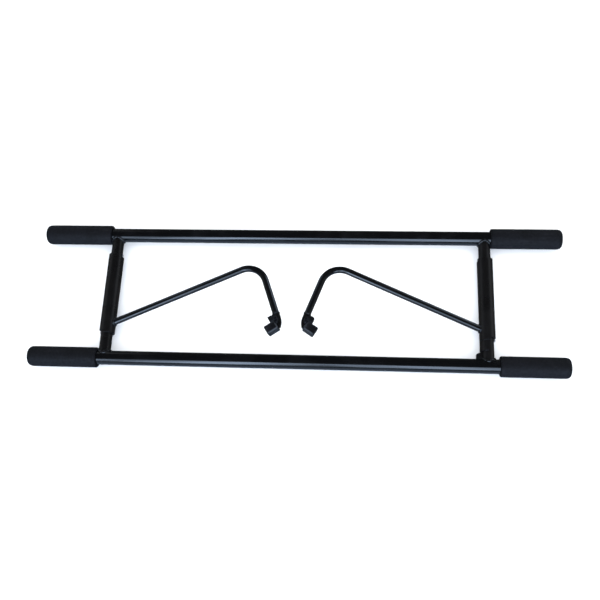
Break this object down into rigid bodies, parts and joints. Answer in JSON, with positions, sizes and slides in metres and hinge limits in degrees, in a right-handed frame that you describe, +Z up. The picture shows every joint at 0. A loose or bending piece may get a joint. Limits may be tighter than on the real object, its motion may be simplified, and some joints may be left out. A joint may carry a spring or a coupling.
{
  "type": "folding doorway pull-up bar",
  "caption": "Doorway pull-up bar: two parallel tubes with foam grips, two cross posts, and two folding hook arms that hang it on a door frame's trim.",
  "frame": {"origin": "on the ground under the middle of the folded bar, centred between the two long bars and the two ends", "axes": "+X along the long bars towards the right end, +Y from the front bar to the rear bar, +Z up off the ground"},
  "size_m": [0.952, 0.2746, 0.078],
  "materials": {
    "gloss_black_paint": "gloss",
    "satin_black_paint": "satin",
    "black_foam": "matte",
    "black_rubber": "matte",
    "black_plastic": "matte",
    "natural_nylon": "satin",
    "zinc_steel": "satin",
    "black_oxide_steel": "satin"
  },
  "bodies": {
    "frame": {"front_bar": "gloss_black_paint", "rear_bar": "gloss_black_paint", "front_left_end_plug": "black_plastic", "front_right_end_plug": "black_plastic", "rear_left_end_plug": "black_plastic", "rear_right_end_plug": "black_plastic", "front_left_foam_grip": "black_foam", "front_right_foam_grip": "black_foam", "rear_left_foam_grip": "black_foam", "rear_right_foam_grip": "black_foam", "left_post": "satin_black_paint", "right_post": "satin_black_paint", "left_front_stop_pin": "zinc_steel", "left_rear_stop_pin": "zinc_steel", "right_front_stop_pin": "zinc_steel", "right_rear_stop_pin": "zinc_steel", "right_half_collar": "satin_black_paint", "right_foot_lug": "satin_black_paint"},
    "left_arm": {"left_sleeve": "satin_black_paint", "left_front_bush": "natural_nylon", "left_rear_bush": "natural_nylon", "left_arm_rod": "satin_black_paint", "left_hook_plate": "satin_black_paint", "left_end_boot": "black_rubber", "left_upper_pad": "black_rubber", "left_pad_screw_1": "black_oxide_steel", "left_pad_screw_2": "black_oxide_steel"},
    "right_arm": {"right_sleeve": "satin_black_paint", "right_front_bush": "natural_nylon", "right_rear_bush": "natural_nylon", "right_arm_rod": "satin_black_paint", "right_hook_plate": "satin_black_paint", "right_end_boot": "black_rubber", "right_upper_pad": "black_rubber", "right_pad_screw_1": "black_oxide_steel", "right_pad_screw_2": "black_oxide_steel"}
  },
  "joints": [
    {"name": "left_arm_swing", "type": "hinge", "parent": "frame", "child": "left_arm", "pos_m": [-0.339, 0, 0.01825], "axis": [0, -1, 0], "range_deg": [0, 81]},
    {"name": "right_arm_swing", "type": "hinge", "parent": "frame", "child": "right_arm", "pos_m": [0.339, 0, 0.01825], "axis": [0, 1, 0], "range_deg": [0, 81]}
  ]
}
